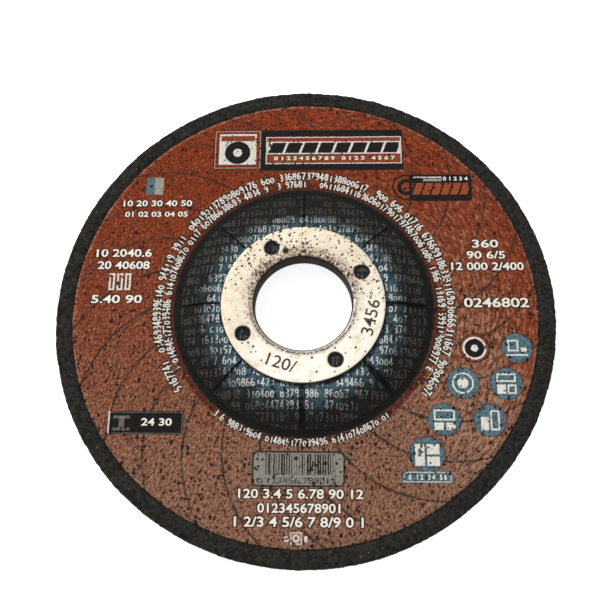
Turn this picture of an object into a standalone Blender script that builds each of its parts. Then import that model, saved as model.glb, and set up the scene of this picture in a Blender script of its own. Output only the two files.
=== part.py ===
"""A 115 mm grinding disc with a depressed centre.

Three pieces: the moulded abrasive body, the paper label pressed over its hub, and the sheet steel
ring that lines the bore and clamps the label's inner edge. Metres, +Z up. The origin is on the bore
axis in the plane of the rim's underside, on which the disc lies with its label up.
"""

import math

import bmesh
import bpy
from mathutils import Vector

MM = 0.001

# The disc's own sizes: outer diameter, rim thickness and bore
DISC_DIAMETER = 115.0 * MM
RIM_THICKNESS = 6.0 * MM
BORE_DIAMETER = 22.23 * MM

# The gap kept between pieces that lie on or in each other
SEAT_GAP = 0.3 * MM

# The depressed centre: a hub raised on the label side over a recess in the underside
HUB_RISE = 4.0 * MM
HUB_LAND = 3.3 * MM
HUB_SLOPE_WIDTH = 7.8 * MM
HUB_SLOPE_FILLET = 5.0 * MM
RECESS_DEPTH = 4.6 * MM
RECESS_WALL_INSET = 1.2 * MM
RECESS_FILLET = 2.0 * MM

# The body's outer edges, and the bare band of abrasive between them and the label
RIM_BAND = 4.0 * MM
RIM_EDGE_FILLET = 0.5 * MM
BORE_EDGE_FILLET = 0.4 * MM

# The paper label, and the cuts that let it open over the hub's slope
LABEL_THICKNESS = 0.25 * MM
LABEL_BORE_MARGIN = 0.4 * MM
SLIT_STOP = 1.3 * MM
SLIT_TIP_WIDTH = 0.18 * MM
SLIT_OPENINGS = [0.7 * MM, 0.6 * MM, 0.5 * MM, 0.6 * MM, 0.6 * MM, 0.8 * MM, 0.7 * MM, 1.2 * MM]

# The pressed centre ring: flange, rounded lip, neck and punched holes
SHEET = 0.5 * MM
FLANGE_DIAMETER = 37.4 * MM
LIP_RADIUS = 0.7 * MM
NECK_LENGTH = 4.4 * MM
HOLE_COUNT = 4
HOLE_MOUTH_DIAMETER = 3.6 * MM
HOLE_FLOOR_DIAMETER = 2.4 * MM
HOLE_START = math.radians(28.8)

# How finely round shapes are divided
BODY_STEPS = 80
RING_STEPS = 72
HOLE_STEPS = 24
ARC_STEPS = 4
SHARP_ANGLE = math.radians(28.0)
CUTTER_OVERRUN = 0.2 * MM

# Heights above the underside
ring_top = RIM_THICKNESS + HUB_RISE
label_hub_top = ring_top - SHEET - SEAT_GAP
label_seat_drop = LABEL_THICKNESS + SEAT_GAP

# Radii from the bore outwards
bore_radius = BORE_DIAMETER / 2
body_bore_radius = bore_radius + SHEET + SEAT_GAP
label_bore_radius = body_bore_radius + LABEL_BORE_MARGIN
flange_radius = FLANGE_DIAMETER / 2
hub_flat_radius = flange_radius + HUB_LAND
shoulder_radius = hub_flat_radius + HUB_SLOPE_WIDTH
disc_radius = DISC_DIAMETER / 2
label_radius = disc_radius - RIM_BAND
hole_pitch_radius = (bore_radius + LIP_RADIUS + flange_radius) / 2


def clear_scene():
    for obj in list(bpy.data.objects):
        bpy.data.objects.remove(obj, do_unlink=True)


def new_collection(name):
    collection = bpy.data.collections.new(name)
    bpy.context.scene.collection.children.link(collection)
    return collection


def new_material(name, colour, roughness, metallic=0.0):
    material = bpy.data.materials.new(name)
    material.use_nodes = True
    shader = material.node_tree.nodes["Principled BSDF"]
    shader.inputs["Base Color"].default_value = (*colour, 1.0)
    shader.inputs["Roughness"].default_value = roughness
    shader.inputs["Metallic"].default_value = metallic
    return material


def fillet(before, corner, after, radius):
    """The arc that rounds one corner of an outline, no longer than half of either side."""
    to_before = before - corner
    to_after = after - corner
    half_angle = to_before.angle(to_after) / 2
    reach = min(radius / math.tan(half_angle), to_before.length / 2, to_after.length / 2)
    fitted = reach * math.tan(half_angle)
    middle = (to_before.normalized() + to_after.normalized()).normalized()
    centre = corner + middle * fitted / math.sin(half_angle)
    start = corner + to_before.normalized() * reach - centre
    end = corner + to_after.normalized() * reach - centre
    turn = start.angle_signed(end)
    arc = []
    for step in range(ARC_STEPS + 1):
        angle = -turn * step / ARC_STEPS
        spoke = Vector((
            start.x * math.cos(angle) - start.y * math.sin(angle),
            start.x * math.sin(angle) + start.y * math.cos(angle),
        ))
        arc.append(centre + spoke)
    return arc


def outline(corners, closed):
    """Turns (radius, height, fillet) corners into a smooth outline of (radius, height) points."""
    places = [Vector((radius, height)) for radius, height, _ in corners]
    points = []
    for index, (_, _, rounding) in enumerate(corners):
        is_end = not closed and index in (0, len(corners) - 1)
        if rounding == 0 or is_end:
            points.append(places[index])
        else:
            after = places[(index + 1) % len(places)]
            points += fillet(places[index - 1], places[index], after, rounding)
    return points


def turned(name, points, closed, steps, collection, material):
    """Turns an outline once round the bore axis. It runs out along the top and down the outside."""
    edges = [(i, i + 1) for i in range(len(points) - 1)]
    if closed:
        edges.append((len(points) - 1, 0))
    mesh = bpy.data.meshes.new(name)
    mesh.from_pydata([(point.x, 0.0, point.y) for point in points], edges, [])
    mesh.materials.append(material)
    piece = bpy.data.objects.new(name, mesh)
    collection.objects.link(piece)
    screw = piece.modifiers.new("Turn", "SCREW")
    screw.steps = steps
    screw.render_steps = steps
    screw.use_merge_vertices = True
    screw.merge_threshold = 0.01 * MM
    screw.use_smooth_shade = True
    return piece


def give_thickness(piece, thickness):
    """Thickens a sheet below its visible face."""
    solidify = piece.modifiers.new("Thickness", "SOLIDIFY")
    solidify.thickness = thickness
    solidify.offset = -1.0
    solidify.use_even_offset = True


def cut_with(piece, cutter):
    boolean = piece.modifiers.new("Cut " + cutter.name, "BOOLEAN")
    boolean.operation = "DIFFERENCE"
    boolean.solver = "EXACT"
    boolean.object = cutter


def new_cutter(name, shape, collection):
    mesh = bpy.data.meshes.new(name)
    shape.to_mesh(mesh)
    shape.free()
    cutter = bpy.data.objects.new(name, mesh)
    cutter.display_type = "WIRE"
    cutter.hide_render = True
    collection.objects.link(cutter)
    return cutter


def shade(piece):
    """Settles the modifiers into the mesh, which is smooth except along its sharp corners."""
    graph = bpy.context.evaluated_depsgraph_get()
    settled = bpy.data.meshes.new_from_object(piece.evaluated_get(graph))
    piece.modifiers.clear()
    piece.data = settled
    settled.shade_smooth()
    settled.set_sharp_from_angle(angle=SHARP_ANGLE)


def pressed_face(inner_radius, outer_radius, drop):
    """The label side's form from the hub out to the rim, lowered by drop."""
    hub_height = label_hub_top - drop
    rim_height = RIM_THICKNESS - drop
    return [
        (inner_radius, hub_height, 0),
        (hub_flat_radius, hub_height, HUB_SLOPE_FILLET),
        (shoulder_radius, rim_height, HUB_SLOPE_FILLET),
        (outer_radius, rim_height, 0),
    ]


def abrasive_body(collection):
    """Grain and resin moulded in one piece, with a seat for the label and the recess beneath."""
    black_grain = new_material("black_abrasive", (0.026, 0.025, 0.023), 0.85)
    seat_edge = label_radius + SEAT_GAP
    recess_floor_radius = hub_flat_radius - RECESS_WALL_INSET
    recess_mouth_radius = shoulder_radius - RECESS_WALL_INSET
    corners = pressed_face(body_bore_radius, seat_edge, label_seat_drop)
    corners += [
        (seat_edge, RIM_THICKNESS, 0),
        (disc_radius, RIM_THICKNESS, RIM_EDGE_FILLET),
        (disc_radius, 0, RIM_EDGE_FILLET),
        (recess_mouth_radius, 0, RECESS_FILLET),
        (recess_floor_radius, RECESS_DEPTH, RECESS_FILLET),
        (body_bore_radius, RECESS_DEPTH, BORE_EDGE_FILLET),
    ]
    return turned("abrasive_body", outline(corners, True), True, BODY_STEPS, collection, black_grain)


def slit_cutter(collection):
    """Radial wedges from the label's bore to just inside the shoulder, widest at the hub's edge."""
    inner_end = label_bore_radius - CUTTER_OVERRUN
    outer_end = shoulder_radius - SLIT_STOP
    height = ring_top - RIM_THICKNESS + 2 * label_seat_drop
    shape = bmesh.new()
    for index, opening in enumerate(SLIT_OPENINGS):
        wedge = bmesh.ops.create_cube(shape, size=1.0)["verts"]
        for corner in wedge:
            is_outer = corner.co.x > 0
            corner.co.x = outer_end if is_outer else inner_end
            corner.co.y *= SLIT_TIP_WIDTH if is_outer else opening
            corner.co.z *= height
        turn = math.tau * index / len(SLIT_OPENINGS)
        bmesh.ops.translate(shape, verts=wedge, vec=(0, 0, (ring_top + RIM_THICKNESS) / 2))
        spin_about_bore(shape, wedge, turn)
    return new_cutter("label_slits", shape, collection)


def spin_about_bore(shape, verts, turn):
    for vert in verts:
        across, along = vert.co.x, vert.co.y
        vert.co.x = across * math.cos(turn) - along * math.sin(turn)
        vert.co.y = across * math.sin(turn) + along * math.cos(turn)


def paper_label(collection, cutters):
    """A printed paper ring that covers the hub and most of the rim, slit where it had to stretch."""
    rust_print = new_material("rust_printed_paper", (0.30, 0.055, 0.018), 0.75)
    face = outline(pressed_face(label_bore_radius, label_radius, 0), False)
    label = turned("paper_label", face, False, BODY_STEPS, collection, rust_print)
    give_thickness(label, LABEL_THICKNESS)
    cut_with(label, slit_cutter(cutters))
    return label


def hole_cutter(collection):
    """Cones, because each hole is punched from above and its edge is drawn down."""
    taper = (HOLE_MOUTH_DIAMETER - HOLE_FLOOR_DIAMETER) / 2 / SHEET
    shape = bmesh.new()
    for index in range(HOLE_COUNT):
        angle = HOLE_START + math.tau * index / HOLE_COUNT
        cone = bmesh.ops.create_cone(
            shape,
            cap_ends=True,
            segments=HOLE_STEPS,
            radius1=HOLE_FLOOR_DIAMETER / 2 - taper * CUTTER_OVERRUN,
            radius2=HOLE_MOUTH_DIAMETER / 2 + taper * CUTTER_OVERRUN,
            depth=SHEET + 2 * CUTTER_OVERRUN,
        )["verts"]
        centre = (
            hole_pitch_radius * math.cos(angle),
            hole_pitch_radius * math.sin(angle),
            ring_top - SHEET / 2,
        )
        bmesh.ops.translate(shape, verts=cone, vec=centre)
    return new_cutter("ring_holes", shape, collection)


def centre_ring(collection, cutters):
    """Sheet steel drawn down through the bore. Its flange lies on the label."""
    plated_steel = new_material("plated_steel", (0.86, 0.78, 0.64), 0.4, 0.6)
    face = outline(
        [
            (bore_radius, ring_top - NECK_LENGTH, 0),
            (bore_radius, ring_top, LIP_RADIUS),
            (flange_radius, ring_top, 0),
        ],
        False,
    )
    ring = turned("centre_ring", face, False, RING_STEPS, collection, plated_steel)
    give_thickness(ring, SHEET)
    cut_with(ring, hole_cutter(cutters))
    return ring


def build():
    clear_scene()
    disc = new_collection("grinding_disc")
    cutters = new_collection("cutters")
    bore_axis = bpy.data.objects.new("bore_axis", None)
    disc.objects.link(bore_axis)
    pieces = [abrasive_body(disc), paper_label(disc, cutters), centre_ring(disc, cutters)]
    for piece in pieces:
        piece.parent = bore_axis
        shade(piece)


build()
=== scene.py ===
"""Looks of a depressed-centre grinding disc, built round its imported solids.

The solids' own frame is kept: +Z up the bore, +X and +Y across the label. Meshes are made in
millimetres and scaled to metres when they are done. Patterns read Object coordinates in millimetres.
"""

import math

import bmesh
import bpy
from mathutils import Matrix, Vector, noise

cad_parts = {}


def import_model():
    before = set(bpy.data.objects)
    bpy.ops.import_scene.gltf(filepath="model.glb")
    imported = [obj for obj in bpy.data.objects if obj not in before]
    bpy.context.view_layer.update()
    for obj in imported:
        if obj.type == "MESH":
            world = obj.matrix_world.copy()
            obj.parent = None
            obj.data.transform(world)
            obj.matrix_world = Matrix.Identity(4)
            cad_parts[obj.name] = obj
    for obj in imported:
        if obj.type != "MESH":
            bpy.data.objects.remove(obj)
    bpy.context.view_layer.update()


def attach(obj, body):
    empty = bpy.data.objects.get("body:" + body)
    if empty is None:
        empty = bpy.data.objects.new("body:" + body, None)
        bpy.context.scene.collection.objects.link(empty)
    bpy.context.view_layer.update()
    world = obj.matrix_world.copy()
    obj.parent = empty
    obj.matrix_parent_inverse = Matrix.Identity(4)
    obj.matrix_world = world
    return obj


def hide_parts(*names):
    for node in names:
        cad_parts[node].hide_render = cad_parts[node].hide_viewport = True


MM = 0.001

# Moulded body: radii and heights of its section
DISC_RADIUS = 57.5
RIM_TOP = 6.0
RIM_EDGE = 0.5
SEAT_RADIUS = 53.75
SEAT_TOP = 5.8
SHOULDER_RADIUS = 29.8
HUB_RADIUS = 22.0
HUB_TOP = 9.2
HUB_ROUNDING = 5.0
BODY_BORE_RADIUS = 11.7
RECESS_FLOOR = 4.6
RECESS_RADIUS = 20.8
RECESS_MOUTH = 28.6
BODY_STEPS = 720
ROUGH_RIM_RADIUS = 56.8
GRAIN_LUMPS = ((3.2, 0.06), (1.1, 0.07), (0.55, 0.08))

# Glass-fibre net that shows through the underside: pitch and half the width of a strand
NET_PITCH = 4.6
NET_HALF_STRAND = 0.7

# Paper label: a sheet on the body's seat, cut at eight places round the hub
PAPER = 0.18
LABEL_RADIUS = 53.5
LABEL_BORE_RADIUS = 12.3
LABEL_STEPS = 480
LABEL_TOP = SEAT_TOP + PAPER
PAPER_LUMPS = ((6.0, 0.05), (1.6, 0.05))
SLIT_END = 28.6
SLIT_RADII = (12.0, 18.0, 21.0, 24.0, 27.0, SLIT_END)
SLIT_WIDTHS = (
    (0.15, 0.35, 0.5, 1.1, 1.0, 0.0),
    (0.15, 0.5, 0.6, 0.6, 0.5, 0.0),
    (0.15, 0.4, 0.45, 0.5, 0.4, 0.0),
    (0.15, 0.5, 0.5, 0.5, 0.4, 0.0),
    (0.15, 0.5, 0.6, 0.6, 0.4, 0.0),
    (0.15, 0.6, 0.8, 0.7, 0.5, 0.0),
    (0.15, 0.4, 0.6, 0.7, 0.6, 0.0),
    (0.15, 1.0, 1.2, 1.1, 0.6, 0.0),
)

# Pressed steel ring: flange, lip, neck and four dimpled holes
RING_TOP = 10.0
SHEET = 0.5
FLANGE_RADIUS = 18.7
LIP_ROUNDING = 0.75
NECK_RADIUS = 11.115
NECK_BOTTOM = 5.6
RING_STEPS = 288
HOLE_COUNT = 4
HOLE_START = math.radians(28.8)
HOLE_PITCH = 15.26
HOLE_STEPS = 40
DENT = (-4.1, 12.6, 0)

# Thin dark lines that sweep outwards over the paper
SWEEP_COUNT = 24
SWEEP_START = 8.5
SWEEP_RADIUS = 44.0

# Plain numbers printed level on the label, in cream: (numbers, left, right, bottom, top)
NUMBER_ROWS = (
    ("120 3.4 5 6.78 90 12", -13.5, 13.2, -43.0, -41.1),
    ("012345678901", -9.3, 8.3, -46.0, -44.1),
    ("1 2/3 4 5/6 7 8/9 0 1", -14.2, 13.2, -48.9, -46.9),
    ("10 20 30 40 50", -43.9, -27.3, 26.0, 27.5),
    ("01 02 03 04 05", -43.3, -28.2, 23.2, 24.5),
    ("10 2040.6", -49.3, -36.2, 12.8, 14.7),
    ("20 40608", -48.7, -36.5, 9.7, 11.6),
    ("5.40 90", -49.5, -37.7, 1.2, 3.1),
    ("360", 39.5, 45.5, 15.0, 16.9),
    ("90 6/5", 38.1, 46.9, 12.2, 14.0),
    ("12 000 2/400", 34.4, 51.0, 9.3, 11.2),
    ("0246802", 36.9, 51.5, 0.2, 2.4),
    ("24 30", -35.6, -28.9, -27.5, -25.9),
)

# Smaller numbers on the banner, the side tag and the plate under a badge, set wide
SMALL_ROWS = (
    ("0123456789 0123 4567", -7.6, 21.9, 38.35, 39.3),
    ("01234", 33.4, 39.3, 32.55, 33.5),
    ("0 12 34 56", 23.0, 31.1, -38.85, -37.8),
)

# Dark numbers under the bars of the grey plate
PLATE_ROWS = (("0 123456 789012", -9.6, 7.4, -39.9, -38.65),)

# Round badges (x, y, radius) and the cream blocks and frames on them (left, right, bottom, top)
BADGES = (
    (48.1, -9.5, 3.45), (35.6, -17.6, 3.55), (45.2, -17.7, 3.6),
    (31.2, -25.75, 3.6), (41.1, -25.9, 3.55), (27.1, -33.4, 3.85),
)
BADGE_BLOCKS = (
    (45.6, 50.4, -11.3, -10.95), (49.0, 50.2, -10.3, -9.4), (43.1, 45.0, -20.0, -17.9),
    (28.9, 31.0, -28.1, -26.5), (31.5, 33.5, -28.1, -26.5), (39.1, 40.8, -28.1, -25.2),
    (24.5, 26.6, -35.9, -31.2), (27.1, 29.8, -33.4, -31.2), (27.1, 29.8, -35.9, -33.9),
)
BADGE_FRAMES = (
    (46.0, 48.4, -10.3, -7.6), (43.1, 47.3, -17.3, -15.4), (45.4, 47.3, -20.0, -17.9),
    (28.9, 33.5, -26.0, -23.6), (41.2, 43.2, -28.1, -23.7),
)

# The rolled section on the tag at the lower left
SECTION_BLOCKS = ((-42.0, -38.2, -25.9, -25.3), (-40.7, -39.5, -28.2, -25.4), (-42.0, -38.2, -28.6, -28.0))

# Numbers struck into the ring: (numbers, width, radius, angle)
STRUCK_ROWS = (("120/", 6.6, 14.9, -108.0), ("3456", 8.4, 15.6, -13.0))

# Rows of digits on the hub, and the width of a digit's cell in heights of a digit
HUB_ROW_PITCH = 2.45
HUB_ROW_BASE = 17.5
HUB_ROW_HEIGHT = 1.75
DIGIT_PITCH = 0.62
HUB_PRINT_EDGE = 30.2

# The photograph's camera and the lamp
LENS = 50.585
CAMERA_PLACE = (6.40, -62.66, 189.80)
CAMERA_TILT = 19.359
CAMERA_SWING = 2.122
LAMP_PLACE = (-0.32, 0.3, 0.55)
FLOOR_DROP = 0.25

# How much each surface shines
PRINT_GLOSS = 0.09
GRAIN_GLOSS = 0.07
METAL_GLOSS = 0.25
STRUCK_GLOSS = 0.5


def paint(red, green, blue):
    """A colour given as it looks in plain light, 0 to 255, as a shader's own value."""
    levels = [v / 255 for v in (red, green, blue)]
    return tuple(v / 12.92 if v < 0.04045 else ((v + 0.055) / 1.055) ** 2.4 for v in levels) + (1.0,)


RUST = paint(125, 53, 26)
# Painted glare with wear: the rust ground of the lower half
RUST_LOW_WORN_AND_GLARED = paint(106, 65, 46)
RUST_DEEP = paint(82, 38, 26)
RUST_PRINT = paint(138, 64, 38)
# Painted highlight with wear: the pale flecks on the ridges
WORN_AND_HIGHLIGHT = paint(184, 120, 90)
# Painted glare with wear: the pale rubbed grains of the lower half, also used for the torn edge
WORN_AND_GLARE_LOW = paint(176, 142, 120)
PIT = paint(38, 21, 15)
INK_BLACK = paint(25, 24, 22)
HUB_BLACK = paint(26, 26, 24)
HUB_BLUE = paint(74, 100, 110)
CREAM = paint(234, 229, 218)
CREAM_FIELD = paint(224, 219, 207)
GREY_PRINT = paint(160, 153, 143)
BADGE_BLUE = paint(90, 118, 128)
PLATED = paint(208, 197, 177)
# Painted light: the plating's lighter lower side
PLATED_PAINTED_LIGHT = paint(228, 222, 208)
SPECK = paint(33, 20, 14)


def rounded(corners, steps=6):
    """Section points (radius, height) through corners given as (radius, height, rounding)."""
    points = []
    for i, (radius, height, rounding) in enumerate(corners):
        here = Vector((radius, height))
        if not rounding:
            points.append(here)
            continue
        before = (Vector(corners[i - 1][:2]) - here).normalized()
        after = (Vector(corners[(i + 1) % len(corners)][:2]) - here).normalized()
        half = before.angle(after) / 2
        middle = here + (before + after).normalized() * rounding / math.sin(half)
        reach = rounding / math.tan(half)
        start, end = (here + side * reach - middle for side in (before, after))
        turn = start.angle_signed(end)
        points += [middle + Matrix.Rotation(-turn * k / steps, 2) @ start for k in range(steps + 1)]
    return points


def spaced(points, longest, closed=True):
    """The same section with points added, so that none is further than longest from the next."""
    made = []
    following = points[1:] + points[:1]
    for here, after in zip(points, following if closed else following[:-1]):
        count = max(1, math.ceil((after - here).length / longest))
        made += [here.lerp(after, k / count) for k in range(count)]
    return made if closed else made + points[-1:]


def turned(section, steps, closed=True):
    """A bmesh of the section spun an eighth of a turn round the bore axis and repeated to close."""
    bm = bmesh.new()
    verts = [bm.verts.new((p.x, 0, p.y)) for p in section]
    after = verts[1:] + verts[:1] if closed else verts[1:]
    edges = [bm.edges.new(pair) for pair in zip(verts, after)]
    eighth = math.tau / 8
    bmesh.ops.spin(bm, geom=verts + edges, axis=(0, 0, 1), cent=(0, 0, 0), angle=eighth, steps=steps // 8)
    sector = bm.verts[:] + bm.edges[:] + bm.faces[:]
    for k in range(1, 8):
        copy = bmesh.ops.duplicate(bm, geom=sector)["geom"]
        moved = [v for v in copy if isinstance(v, bmesh.types.BMVert)]
        bmesh.ops.rotate(bm, verts=moved, cent=(0, 0, 0), matrix=Matrix.Rotation(k * eighth, 3, "Z"))
    bmesh.ops.remove_doubles(bm, verts=bm.verts, dist=0.001)
    bmesh.ops.recalc_face_normals(bm, faces=bm.faces)
    return bm


def lump_height(place, lumps):
    """The height of the lumps at a place: a sum of noises given as (size, depth)."""
    return sum(noise.noise(place / size) * depth for size, depth in lumps)


def roughened(bm, lumps, share=lambda v: 1.0):
    """Moves each point along its normal by the lumps."""
    bm.normal_update()
    for v in bm.verts:
        v.co += v.normal * lump_height(v.co, lumps) * share(v)


def set_down(name, data):
    """A new object in the scene that holds the data."""
    obj = bpy.data.objects.new(name, data)
    bpy.context.scene.collection.objects.link(obj)
    return obj


def evaluated(obj):
    """The object's mesh as its modifiers or its curve make it."""
    return bpy.data.meshes.new_from_object(obj.evaluated_get(bpy.context.evaluated_depsgraph_get()))


def finished(bm, name, material, sharp=40.0):
    """The piece's object, in metres at the origin, shaded smooth up to the sharp angle."""
    bmesh.ops.scale(bm, vec=(MM, MM, MM), verts=bm.verts)
    mesh = bpy.data.meshes.new(name)
    bm.to_mesh(mesh)
    bm.free()
    mesh.shade_smooth()
    mesh.set_sharp_from_angle(angle=math.radians(sharp))
    mesh.materials.append(material)
    return set_down(name, mesh)


def put(tree, kind, **settings):
    """A new node, laid down in rows of sixteen."""
    node = tree.nodes.new(kind)
    for key, value in settings.items():
        setattr(node, key, value)
    laid = len(tree.nodes) - 1
    node.location = (190 * (laid % 16), -280 * (laid // 16))
    return node


def feed(node, values):
    for key, value in values.items():
        if isinstance(value, bpy.types.NodeSocket):
            node.id_data.links.new(value, node.inputs[key])
        else:
            node.inputs[key].default_value = value
    return node


def wired(kind, values, tree=None, **settings):
    """The outputs of a new node, fed with values. It joins the tree, or else the tree they are in."""
    tree = tree or next(v.id_data for v in values.values() if isinstance(v, bpy.types.NodeSocket))
    return feed(put(tree, kind, **settings), values).outputs


def use(group, tree=None, **values):
    named = {key.replace("_", " "): value for key, value in values.items()}
    return wired("ShaderNodeGroup", named, tree, node_tree=group)


def reckon(operation, *terms, clamp=False):
    return wired("ShaderNodeMath", dict(enumerate(terms)), operation=operation, use_clamp=clamp)[0]


def times(a, b):
    return reckon("MULTIPLY", a, b)


def times_plus(a, factor, b):
    return reckon("MULTIPLY_ADD", a, factor, b)


def plus(a, b):
    return reckon("ADD", a, b)


def minus(a, b):
    return reckon("SUBTRACT", a, b)


def divided(a, b):
    return reckon("DIVIDE", a, b)


def most(a, b):
    return reckon("MAXIMUM", a, b)


def size_of(a):
    return reckon("ABSOLUTE", a)


def fraction(a):
    return reckon("FRACT", a)


def below(a, limit):
    return reckon("LESS_THAN", a, limit)


def vector(operation, *terms):
    outputs = wired("ShaderNodeVectorMath", dict(enumerate(terms)), operation=operation)
    return outputs["Value" if operation in ("LENGTH", "DISTANCE") else "Vector"]


def scaled(place, factor):
    return wired("ShaderNodeVectorMath", {"Vector": place, "Scale": factor}, operation="SCALE")["Vector"]


def joined(x, y, z=0.0):
    return wired("ShaderNodeCombineXYZ", {"X": x, "Y": y, "Z": z})["Vector"]


def parts(place):
    return wired("ShaderNodeSeparateXYZ", {"Vector": place}).values()


def shades(colour):
    return wired("ShaderNodeSeparateColor", {"Color": colour}).values()


def toned(colour, tone):
    """The colour made darker or lighter by the tone."""
    return wired("ShaderNodeHueSaturation", {"Value": tone, "Color": colour})["Color"]


def ramp(value, low, high, start=0.0, end=1.0, kind="LINEAR"):
    values = {"Value": value, "From Min": low, "From Max": high, "To Min": start, "To Max": end}
    return wired("ShaderNodeMapRange", values, interpolation_type=kind)["Result"]


def ease(*values):
    """A ramp that starts and ends gently."""
    return ramp(*values, kind="SMOOTHSTEP")


def clouds(place, size, detail=2.0, rough=0.5):
    values = {"Vector": place, "Scale": 1 / size, "Detail": detail, "Roughness": rough}
    return wired("ShaderNodeTexNoise", values)["Fac"]


def blend(amount, under, over, mode="MIX"):
    settings = {"data_type": "RGBA", "blend_type": mode, "clamp_factor": True}
    return wired("ShaderNodeMix", {0: amount, 6: under, 7: over}, **settings)[2]


def coat(under, over, mask, share):
    """A colour with another laid over it in the mask, by the share."""
    return blend(times(mask, share), under, over)


def pick(amount, under, over):
    values = {0: amount, 2: under, 3: over}
    return wired("ShaderNodeMix", values, data_type="FLOAT", clamp_factor=True)[0]


def strayed(place, scale, detail, reach):
    """The place pushed aside by a noise, up to half the reach each way."""
    wave = wired("ShaderNodeTexNoise", {"Vector": place, "Scale": scale, "Detail": detail})
    push = vector("SUBTRACT", joined(*shades(wave["Color"])), (0.5, 0.5, 0.5))
    return vector("ADD", place, scaled(push, reach))


def from_nearest(value, pitch):
    """How far a value is from the nearest whole pitch, in pitches."""
    return minus(fraction(times_plus(value, 1 / pitch, 0.5)), 0.5)


def drawn_out(place, degrees, length, width):
    """The place seen in cells of length by width that lie along a direction."""
    values = {"Vector": place, "Rotation": (0, 0, math.radians(degrees)), "Scale": (length, width, 1)}
    return wired("ShaderNodeMapping", values, vector_type="TEXTURE")["Vector"]


def fill(distance, softness=0.14):
    """1 inside a shape and 0 outside, from its distance in millimetres."""
    return reckon("MULTIPLY_ADD", distance, -1 / softness, 0.5, clamp=True)


def within(distance, reach, softness=0.14):
    """1 up to a reach and 0 past it."""
    return fill(minus(distance, reach), softness)


def band(distance, inner, outer):
    """1 between two distances."""
    past = minus(distance, outer)
    short = minus(inner, distance)
    return fill(most(past, short))


def new_group(name, **inputs):
    """A node group and its inputs, each given with its default: a number, or None for a place."""
    tree = bpy.data.node_groups.new(name, "ShaderNodeTree")
    for label, value in inputs.items():
        kind = "NodeSocketVector" if value is None else "NodeSocketFloat"
        label = label.replace("_", " ")
        socket = tree.interface.new_socket(name=label, in_out="INPUT", socket_type=kind)
        if value is not None:
            socket.default_value = value
    return tree, put(tree, "NodeGroupInput").outputs


def closed_group(tree, **values):
    """The group with its values led out."""
    for label, value in values.items():
        kind = "NodeSocketVector" if value.type == "VECTOR" else "NodeSocketFloat"
        tree.interface.new_socket(name=label, in_out="OUTPUT", socket_type=kind)
    feed(put(tree, "NodeGroupOutput"), values)
    return tree


def disc_place_group():
    """Where a point lies on the disc, in millimetres and degrees. Waver frays the edges of print."""
    tree, given = new_group("disc place", Waver=0.0)
    solid = scaled(put(tree, "ShaderNodeTexCoord").outputs["Object"], 1 / MM)
    x, y, _ = parts(strayed(solid, 1.6, 2.0, given["Waver"]))
    place = joined(x, y)
    angle = times(reckon("ARCTAN2", y, x), math.degrees(1))
    values = {"Solid": solid, "Place": place, "X": x, "Y": y, "Height": parts(solid)[2]}
    return closed_group(tree, **values, Radius=vector("LENGTH", place), Angle=angle)


def box_group():
    """Distance from the edge of a box with rounded corners, below 0 inside."""
    labels = ("X", "Y", "Centre X", "Centre Y", "Half Width", "Half Height", "Corner")
    tree, given = new_group("printed box", **dict.fromkeys(labels, 0.0))

    def past(place, centre, half):
        away = size_of(minus(given[place], given[centre]))
        return plus(minus(away, given[half]), given["Corner"])

    past_x = past("X", "Centre X", "Half Width")
    past_y = past("Y", "Centre Y", "Half Height")
    out_x = most(past_x, 0.0)
    out_y = most(past_y, 0.0)
    squared = times_plus(out_y, out_y, times(out_x, out_x))
    inside = reckon("MINIMUM", most(past_x, past_y), 0.0)
    edge = plus(reckon("SQRT", squared), inside)
    return closed_group(tree, Distance=minus(edge, given["Corner"]))


def pinhole_group():
    """Small ragged spots scattered over a surface: one in each cell, some of them shown."""
    tree, given = new_group("pinholes", Place=None, Cell=1.0, Largest=0.3, Share=0.5)
    place = strayed(given["Place"], 2.4, 1.0, 0.35)
    values = {"Vector": scaled(place, divided(1.0, given["Cell"])), "Scale": 1.0}
    cells = wired("ShaderNodeTexVoronoi", values, voronoi_dimensions="3D", feature="F1")
    size, chance, _ = shades(cells["Color"])
    distance = times(cells["Distance"], given["Cell"])
    largest = times(given["Largest"], times_plus(size, 0.7, 0.3))
    shown = below(chance, given["Share"])
    inside = within(distance, largest, 0.09)
    return closed_group(tree, Mask=times(inside, shown))


def pinholes(place, cell, largest, share):
    """The mask of the pinholes that one surface gets."""
    return use(PINHOLES, Place=place, Cell=cell, Largest=largest, Share=share)["Mask"]


def grit_group():
    """Abrasive grains under or on a surface: a height for bump and a value for colour."""
    tree, given = new_group("grit", Place=None, Grain=0.8)
    fine = scaled(given["Place"], divided(1.0, given["Grain"]))
    values = {"Vector": fine, "Scale": 1.0, "Smoothness": 0.4}
    cells = wired("ShaderNodeTexVoronoi", values, voronoi_dimensions="3D", feature="SMOOTH_F1")
    cloud = clouds(fine, 0.7, 4.0, 0.6)
    height = times_plus(cells["Distance"], -0.6, cloud)
    tone = times_plus(shades(cells["Color"])[0], 0.35, cloud)
    return closed_group(tree, Height=height, Tone=tone)


def sweep_group():
    """Thin lines that sweep outwards over the paper, each a slice of a growing turn."""
    tree, given = new_group("sweeping lines", Place=None, Radius=0.0, Angle=0.0)
    gap = 360 / SWEEP_COUNT
    out_by = minus(given["Radius"], SWEEP_RADIUS)
    growth = times(out_by, times_plus(out_by, 0.02, 1.1))
    turn = minus(minus(given["Angle"], growth), SWEEP_START)
    arc = times(given["Radius"], math.radians(gap) * 0.77)
    distance = times(size_of(from_nearest(turn, gap)), arc)
    thick = ease(clouds(given["Place"], 1.6, 3.0, 0.6), 0.3, 0.7, 0.12, 0.36)
    line = within(distance, thick, 0.24)
    patchy = ease(clouds(given["Place"], 5.0, 3.0), 0.35, 0.55, 0.6, 1.0)
    on_flat = ease(given["Radius"], 30.4, 31.6)
    return closed_group(tree, Mask=times(times(line, patchy), on_flat))


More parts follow.
